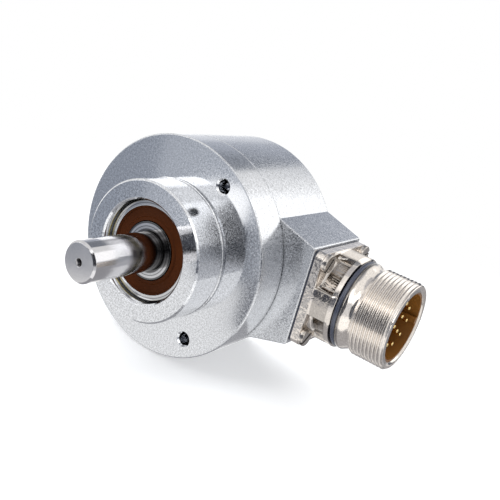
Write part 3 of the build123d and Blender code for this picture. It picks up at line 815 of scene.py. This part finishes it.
@dataclass
class ThreadedShell:
    """The connector shell with a real thread on its barrel.

    Along X the thread grows from the neck's radius at run_out to the crest at full_start, and past full_end
    its crests shrink to the rim at the face.
    """

    run_out: float = 48.7
    full_start: float = 49.2
    full_end: float = 58.1
    face: float = 58.6
    crest: float = 11.5
    root: float = 10.92
    neck: float = 10.6
    rim: float = 11.0
    pitch: float = 1.0
    flat: float = 0.12
    steps: int = 144
    slack: float = 0.06
    weld: float = 0.005
    seam: float = 0.001
    sharp_from: float = 24.0

    def limit(self, x: float) -> float:
        """Largest radius of the thread.

        Args:
            x: station along the axis.

        Returns:
            The radius there.
        """
        if x < self.full_start:
            share = (x - self.run_out) / (self.full_start - self.run_out)
            return self.neck + (self.crest - self.neck) * share
        if x > self.full_end:
            share = (x - self.full_end) / (self.face - self.full_end)
            return self.crest - (self.crest - self.rim) * share
        return self.crest

    def trimmed(self, place: Vector) -> Vector:
        """Where a point of the endless thread lies once the thread has its two ends.

        Args:
            place: the point, in metres.

        Returns:
            Its place on the trimmed thread, in metres.
        """
        x = min(max(place.x / MM, self.run_out), self.face)
        out = place - Axis.CONNECTOR.point
        out.x = 0.0
        reach = min(out.length / MM, self.limit(x))
        if x == self.face:
            reach = self.rim
        if x == self.run_out:
            reach = self.neck
        return Vector((x * MM, CONNECTOR_Y * MM, 0)) + out.normalized() * reach * MM

    def thread(self) -> bmesh.types.BMesh:
        """Sweeps a row of teeth once round the axis while it moves one pitch along it, and trims the ends.

        Returns:
            The thread.
        """
        shape = bmesh.new()
        start = self.run_out - 2 * self.pitch
        turns = int((self.face - start) / self.pitch) + 2
        tooth = ((0.0, self.root), (self.flat, self.root), (0.5 - self.flat / 2, self.crest),
                 (0.5 + self.flat / 2, self.crest), (1 - self.flat, self.root))
        row = [Vector((start + (turn + along) * self.pitch, CONNECTOR_Y + radius, 0.0)) * MM
               for turn in range(turns) for along, radius in tooth]
        verts = [shape.verts.new(point) for point in row]
        edges = [shape.edges.new(pair) for pair in zip(verts, verts[1:])]
        bmesh.ops.spin(shape, geom=verts + edges, cent=Axis.CONNECTOR.point, axis=Axis.CONNECTOR.direction,
                       dvec=Vector((self.pitch * MM / self.steps, 0, 0)), angle=2 * math.pi, steps=self.steps,
                       use_merge=False)
        for vert in shape.verts:
            vert.co = self.trimmed(vert.co)
        bmesh.ops.remove_doubles(shape, verts=shape.verts, dist=self.weld * MM)
        bmesh.ops.dissolve_degenerate(shape, edges=shape.edges, dist=TOUCHING)
        bmesh.ops.recalc_face_normals(shape, faces=shape.faces)
        inward = sum(face.normal.dot(face.calc_center_median() - Axis.CONNECTOR.point) < 0
                     for face in shape.faces)
        if inward > len(shape.faces) / 2:
            bmesh.ops.reverse_faces(shape, faces=shape.faces)
        return shape

    def covers(self, face: bmesh.types.BMFace) -> bool:
        """Whether the thread takes a face's place: it lies on the barrel, outside the ring of its front face.

        Args:
            face: a face of the plain shell.

        Returns:
            True for a face to take out.
        """
        middle = face.calc_center_median() / MM
        radius = math.hypot(middle.y - CONNECTOR_Y, middle.z)
        on_barrel = middle.x > self.run_out - self.seam and radius > self.neck - self.slack
        on_front = middle.x > self.face - self.seam and radius < self.rim
        return on_barrel and not on_front

    def build(self, workshop: Workshop) -> bpy.types.Object:
        """Joins the thread to the rest of the shell.

        Args:
            workshop: where pieces are made.

        Returns:
            The piece.
        """
        shape = workshop.copy_of("connector_shell")
        bmesh.ops.delete(shape, geom=[face for face in shape.faces if self.covers(face)], context="FACES")
        thread = self.thread()
        mesh = bpy.data.meshes.new("thread")
        thread.to_mesh(mesh)
        thread.free()
        shape.from_mesh(mesh)
        bpy.data.meshes.remove(mesh)
        bmesh.ops.remove_doubles(shape, verts=shape.verts, dist=self.seam * MM)
        obj = workshop.piece("threaded_shell", shape, "connector_shell", "housing")
        obj.data.shade_smooth()
        obj.data.set_sharp_from_angle(angle=math.radians(self.sharp_from))
        return obj


@dataclass(frozen=True)
class Lamp:
    """A square soft light that faces the encoder. Angles in degrees, size in metres, power in watts."""

    name: str
    azimuth: float
    elevation: float
    size: float
    power: float
    distance: float = 1.0


@dataclass(frozen=True)
class Card:
    """A curved card round the encoder.

    The azimuths of its ends count in degrees from +X towards +Y, and its lower and upper edge in degrees
    above the target. The colour is what it sends out, with 1 as white. A card in front of another one has a
    smaller distance, in metres.
    """

    name: str
    azimuths: tuple[float, float]
    elevations: tuple[float, float]
    colour: RGB
    distance: float = 1.0


@dataclass(frozen=True)
class Disc:
    """A level disc over or under the encoder. Height above the target and radius in metres."""

    name: str
    height: float
    radius: float
    colour: RGB


@dataclass(frozen=True)
class Shade:
    """An oval beside the camera: how many millimetres left of it and in front of it."""

    name: str
    left: float
    front: float
    colour: RGB


LAMPS = (
    Lamp("key", 240, 45, 0.5, 4.0),
    Lamp("top", 60, 60, 0.6, 4.0),
)
CARDS = (
    Card("front low left", (205, 231), (-22, -19.3), (0.48, 0.50, 0.54)),
    Card("front grey", (205, 230), (-19.3, 0), (0.34, 0.37, 0.43)),
    Card("front pale", (230, 250), (-19.3, 0), (0.52, 0.55, 0.61)),
    Card("front dark", (236.5, 242), (-20.4, -14.8), (0.28, 0.30, 0.34), 0.99),
    Card("front glare", (235, 239.5), (-15, -11.5), (1.6, 1.6, 1.6), 0.98),
    Card("front softbox", (205, 241), (1, 26), (2.2, 2.2, 2.2)),
    Card("front gap", (241, 264), (-19.3, 8), (0.72, 0.74, 0.78)),
    Card("front mid", (241, 264), (8, 26), (1.1, 1.1, 1.12)),
    Card("front high", (205, 241), (26, 48), (0.9, 0.9, 0.92)),
    Card("front high right", (241, 264), (26, 48), (1.35, 1.35, 1.35)),
    Card("block dark", (241, 249), (-24.5, -19.3), (0.22, 0.23, 0.26)),
    Card("camera low", (264, 345), (-19, -2), (0.80, 0.81, 0.84)),
    Card("camera middle", (264, 322), (-2, 15), (0.70, 0.72, 0.76)),
    Card("camera softbox", (264, 316), (15, 48), (2.2, 2.2, 2.2)),
    Card("camera right", (322, 345), (-12, 14), (0.10, 0.11, 0.14), 0.99),
    Card("near floor", (262, 330), (-60, -19), (1.3, 1.3, 1.3)),
    Card("back line", (15, 52), (1, 6), (0.12, 0.12, 0.15)),
    Card("back strip", (52, 95), (-6, 9), (0.10, 0.11, 0.14)),
    Card("back softbox", (40, 76), (12, 42), (1.6, 1.6, 1.6)),
    Card("back softbox edge", (76, 87), (12, 42), (1.1, 1.1, 1.1)),
    Card("back grey", (90, 160), (15, 28), (0.48, 0.51, 0.58)),
    Card("back dark", (98, 160), (28, 62), (0.27, 0.29, 0.33)),
    Card("back pale", (100, 160), (2, 15), (0.85, 0.87, 0.92)),
    Card("back bright", (116, 160), (-30, 1), (1.4, 1.4, 1.4)),
    Card("back floor", (10, 110), (-50, -10), (0.40, 0.40, 0.42)),
)
DISCS = (
    Disc("shadow below", -0.3, 0.22, (0.42, 0.42, 0.44)),
    Disc("tent top", 0.5, 0.22, (0.55, 0.56, 0.60)),
)
SHADES = (
    Shade("dark shade", 139, 0, (0.01, 0.01, 0.015)),
    Shade("grey shade", 162, 2, (0.11, 0.12, 0.145)),
)


@dataclass
class Studio:
    """Camera, floor, lights, and the cards that only the metal sees.

    The camera stands at the photograph's viewing angle: its place, its turn in degrees and its lens were
    fitted to the outlines there.
    """

    target: Vector = field(default_factory=lambda: Vector((12.0, 8.0, 0.0)) * MM)
    lens: float = 50.64
    film: float = 36.0
    eye: Vector = field(default_factory=lambda: Vector((103.622, -137.257, 59.378)) * MM)
    eye_turn: tuple[float, float, float] = (71.8234, -15.0399, 34.9981)
    floor_height: float = -29.2
    floor_side: float = 1000.0
    floor_fade: tuple[float, float] = (70.0, 240.0)
    shade_radius: float = 150.0
    shade_flatness: float = 0.85
    shade_drop: float = 15.0

    def camera(self) -> None:
        """Places the camera of the photograph."""
        data = bpy.data.cameras.new("camera")
        data.lens = self.lens
        data.sensor_width = self.film
        data.clip_start = 0.001
        data.clip_end = 20.0
        camera = bpy.data.objects.new("camera", data)
        bpy.context.scene.collection.objects.link(camera)
        turn = Euler([math.radians(angle) for angle in self.eye_turn])
        camera.matrix_world = Matrix.LocRotScale(self.eye, turn, None)
        bpy.context.scene.camera = camera

    def world(self) -> None:
        """White where the camera and the metal look, soft light elsewhere."""
        world = bpy.data.worlds.new("studio")
        world.use_nodes = True
        graph = Graph(world.node_tree)
        path = graph.add("LightPath").outputs
        seen = graph.maths("MAXIMUM", path["Is Camera Ray"], path["Is Glossy Ray"])
        seen = graph.maths("MAXIMUM", seen, path["Is Transmission Ray"])
        white = graph.add("Background", {"Color": (1, 1, 1, 1), "Strength": 1.0})
        soft = graph.add("Background", {"Color": (0.97, 0.98, 1.0, 1), "Strength": 0.7})
        mixed = graph.add("MixShader", {0: seen, 1: soft.outputs[0], 2: white.outputs[0]})
        graph.add("OutputWorld", {"Surface": mixed.outputs[0]})
        bpy.context.scene.world = world

    def add(self, name: str, shape: bmesh.types.BMesh, material: bpy.types.Material) -> bpy.types.Object:
        """Puts a studio piece in the scene.

        Args:
            name: the piece's name.
            shape: its mesh; it is freed.
            material: its material.

        Returns:
            The piece.
        """
        mesh = bpy.data.meshes.new(name)
        shape.to_mesh(mesh)
        shape.free()
        mesh.materials.append(material)
        obj = bpy.data.objects.new(name, mesh)
        bpy.context.scene.collection.objects.link(obj)
        return obj

    def floor(self) -> None:
        """A pale floor under the encoder that keeps its shadow and fades out into the backdrop."""
        material, graph = start_material("floor paper")
        place = graph.add("TexCoord").outputs["Object"]
        away = graph.add("VectorMath", {0: place}, operation="LENGTH").outputs["Value"]
        share = graph.spread(away, *(reach * MM for reach in self.floor_fade))
        paper = graph.add("BsdfDiffuse", {"Color": (0.93, 0.94, 0.95, 1.0)})
        lift = graph.add("Emission", {"Color": (1, 1, 1, 1), "Strength": 0.32})
        lit = graph.add("AddShader", {0: paper.outputs[0], 1: lift.outputs[0]})
        gone = graph.add("BsdfTransparent")
        mixed = graph.add("MixShader", {0: share, 1: lit.outputs[0], 2: gone.outputs[0]})
        graph.add("OutputMaterial", {"Surface": mixed.outputs[0]})
        shape = bmesh.new()
        bmesh.ops.create_grid(shape, x_segments=1, y_segments=1, size=self.floor_side * MM / 2)
        bmesh.ops.translate(shape, verts=shape.verts, vec=Vector((0, 0, self.floor_height)) * MM)
        self.add("floor", shape, material).visible_glossy = False

    def lamp(self, row: Lamp) -> None:
        """Hangs a lamp that lights what isn't metal.

        Args:
            row: the lamp.
        """
        data = bpy.data.lights.new(row.name, "AREA")
        data.size = row.size
        data.energy = row.power
        lamp = bpy.data.objects.new(row.name, data)
        bpy.context.scene.collection.objects.link(lamp)
        turn, lift = math.radians(row.azimuth), math.radians(row.elevation)
        away = Vector((math.cos(lift) * math.cos(turn), math.cos(lift) * math.sin(turn), math.sin(lift)))
        lamp.location = self.target + away * row.distance
        lamp.rotation_euler = away.to_track_quat("Z", "Y").to_euler()
        lamp.visible_glossy = False

    def mirrored(self, name: str, shape: bmesh.types.BMesh, colour: RGB) -> None:
        """Puts up an evenly shining piece that only mirror rays see.

        Args:
            name: the piece's name.
            shape: its mesh; it is freed.
            colour: what it sends out, with 1 as white.
        """
        material, graph = start_material(name)
        light = graph.add("Emission", {"Color": colour + (1.0,), "Strength": 1.0})
        graph.add("OutputMaterial", {"Surface": light.outputs[0]})
        obj = self.add(name, shape, material)
        obj.visible_camera = False
        obj.visible_shadow = False
        obj.visible_diffuse = False
        obj.visible_transmission = False

    def card(self, row: Card) -> None:
        """Bends a card round the target.

        Args:
            row: the card.
        """
        low, high = (row.distance * math.tan(math.radians(angle)) for angle in row.elevations)
        start, end = (math.radians(angle) for angle in row.azimuths)
        shape = bmesh.new()
        foot = self.target + Vector((math.cos(start), math.sin(start), 0)) * row.distance
        verts = [shape.verts.new(foot + Vector((0, 0, height))) for height in (low, high)]
        edge = shape.edges.new(verts)
        bmesh.ops.spin(shape, geom=verts + [edge], cent=self.target, axis=Vector((0, 0, 1)),
                       angle=end - start, steps=12, use_merge=False)
        self.mirrored(row.name, shape, row.colour)

    def disc(self, row: Disc) -> None:
        """Lays a disc over or under the target.

        Args:
            row: the disc.
        """
        shape = bmesh.new()
        bmesh.ops.create_circle(shape, cap_ends=True, segments=64, radius=row.radius)
        bmesh.ops.translate(shape, verts=shape.verts, vec=self.target + Vector((0, 0, row.height)))
        self.mirrored(row.name, shape, row.colour)

    def shade(self, row: Shade) -> None:
        """Stands a shade beside the camera, for the corner round the boss to mirror.

        Args:
            row: the shade.
        """
        shape = bmesh.new()
        bmesh.ops.create_circle(shape, cap_ends=True, segments=96, radius=self.shade_radius * MM)
        bmesh.ops.scale(shape, verts=shape.verts, vec=Vector((1, self.shade_flatness, 1)))
        beside = Vector((-row.left, -self.shade_drop, -row.front)) * MM
        bmesh.ops.translate(shape, verts=shape.verts, vec=beside)
        bmesh.ops.transform(shape, verts=shape.verts, matrix=bpy.context.scene.camera.matrix_world)
        self.mirrored(row.name, shape, row.colour)

    def build(self) -> None:
        """Sets up the whole studio."""
        bpy.context.scene.view_settings.view_transform = "Standard"
        self.camera()
        self.world()
        self.floor()
        for hang, rows in ((self.lamp, LAMPS), (self.card, CARDS), (self.disc, DISCS), (self.shade, SHADES)):
            for row in rows:
                hang(row)


def main() -> None:
    """Builds the encoder's looks in order."""
    logging.basicConfig(level=logging.INFO, format="%(message)s")
    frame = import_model()
    workshop = Workshop(frame)
    workshop.dress_frame()
    ThreadedShell().build(workshop)
    Studio().build()


if __name__ == "__main__":
    main()
